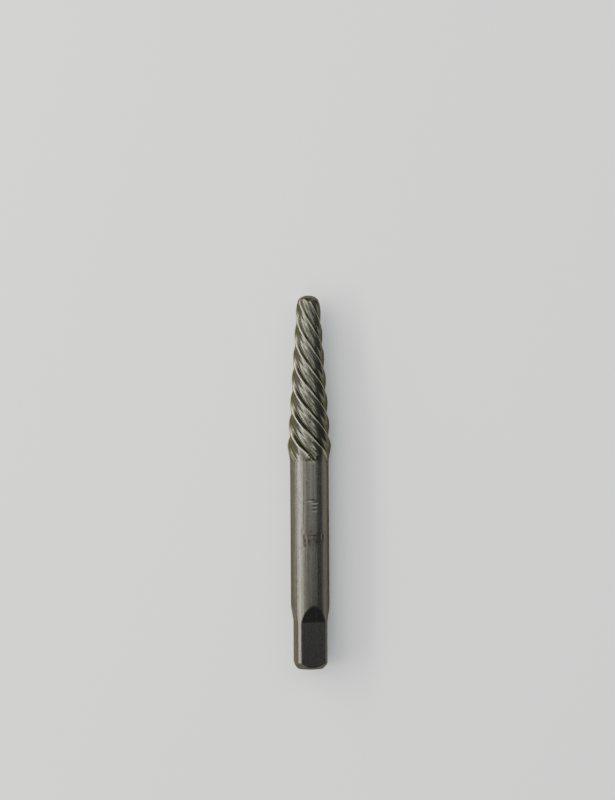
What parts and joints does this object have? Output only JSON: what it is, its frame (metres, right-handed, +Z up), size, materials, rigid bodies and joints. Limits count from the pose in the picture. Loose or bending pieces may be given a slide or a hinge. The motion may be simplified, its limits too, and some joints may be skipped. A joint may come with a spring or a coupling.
{
  "type": "screw extractor",
  "caption": "Tapered spiral-flute screw extractor with a round shank and a square drive end.",
  "frame": {"origin": "on the table under the middle of the tool's length, with the tool lying on its flutes", "axes": "+Y along the tool's own axis towards its tip; +Z up, away from the table"},
  "size_m": [0.009, 0.0762, 0.0087],
  "materials": {
    "steel": "hardened, dark and softly polished, with fine lengthwise marks"
  },
  "bodies": {
    "root": {"extractor": "steel"}
  },
  "joints": []
}
